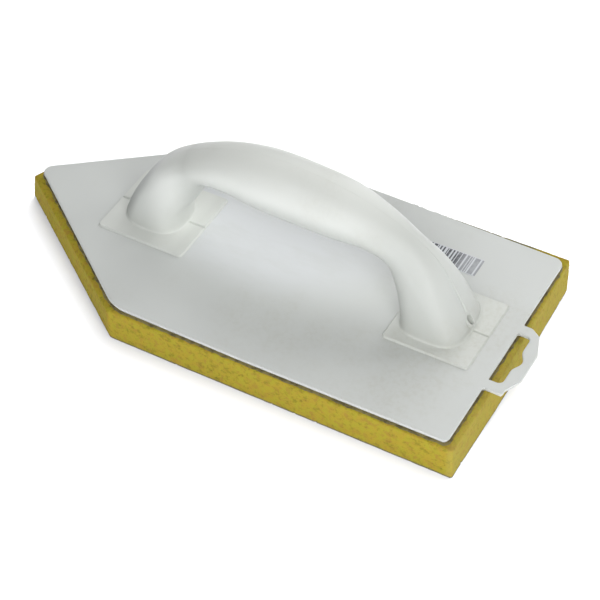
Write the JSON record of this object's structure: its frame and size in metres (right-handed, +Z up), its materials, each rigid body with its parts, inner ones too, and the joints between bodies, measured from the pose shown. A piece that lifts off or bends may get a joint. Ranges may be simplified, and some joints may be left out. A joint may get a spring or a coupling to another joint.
{
  "type": "grout float",
  "caption": "Pointed sponge float: a foam slab glued under a moulded plate with a hollow arched handle and a hanging loop.",
  "frame": {"origin": "centre of the foam's flat working face: midway between its pointed tip and its rear edge, and midway across its width", "axes": "+X from the pointed front to the straight rear edge, +Y to the left seen from behind, +Z up from the working face through the handle"},
  "size_m": [0.2805, 0.13, 0.0869],
  "materials": {
    "sponge_foam": "open-cell foam, cut faces with small pores",
    "glue_film": "dried contact glue",
    "plate_plastic": "fine satin, light scuffs",
    "weld_bead": "solvent-welded plastic",
    "handle_plastic": "satin moulded plastic",
    "printed_film": "clear film with plain printed bars"
  },
  "bodies": {
    "root": {"sponge_pad": "sponge_foam", "sponge_adhesive": "glue_film", "base_plate": "plate_plastic", "front_foot_bond": "weld_bead", "rear_foot_bond": "weld_bead", "handle_left_half": "handle_plastic", "handle_right_half": "handle_plastic", "barcode_label": "printed_film"}
  },
  "joints": []
}
